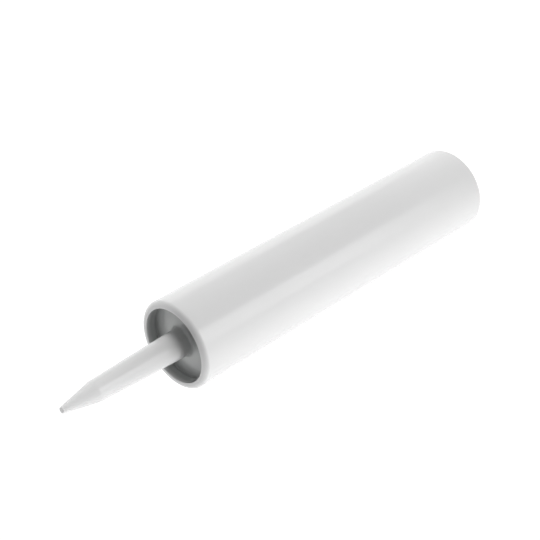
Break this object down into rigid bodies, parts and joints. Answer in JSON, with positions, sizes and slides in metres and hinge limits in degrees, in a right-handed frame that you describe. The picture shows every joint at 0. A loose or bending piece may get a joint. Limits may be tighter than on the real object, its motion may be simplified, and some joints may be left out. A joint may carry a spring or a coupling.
{
  "type": "empty dispensing cartridge",
  "caption": "Empty dispensing cartridge: plain round barrel with a rounded front rim, recessed head and tapered nozzle, and a sliding plunger inside that pushes the contents out.",
  "frame": {"origin": "centre of the barrel's open rear end, on the plane that it stands on", "axes": "+Z along the barrel's axis from the rear end to the nozzle's tip; X and Y are square to it, and the barrel is round about Z"},
  "size_m": [0.0494, 0.0494, 0.2935],
  "materials": {
    "barrel_plastic": "glossy white moulded polyethylene",
    "plunger_plastic": "satin natural polyethylene"
  },
  "bodies": {
    "barrel": {"barrel": "barrel_plastic"},
    "plunger": {"plunger": "plunger_plastic"}
  },
  "joints": [
    {"name": "plunger_slide", "type": "slide", "parent": "barrel", "child": "plunger", "axis": [0, 0, 1], "range_m": [-0.0077, 0.1795]}
  ]
}
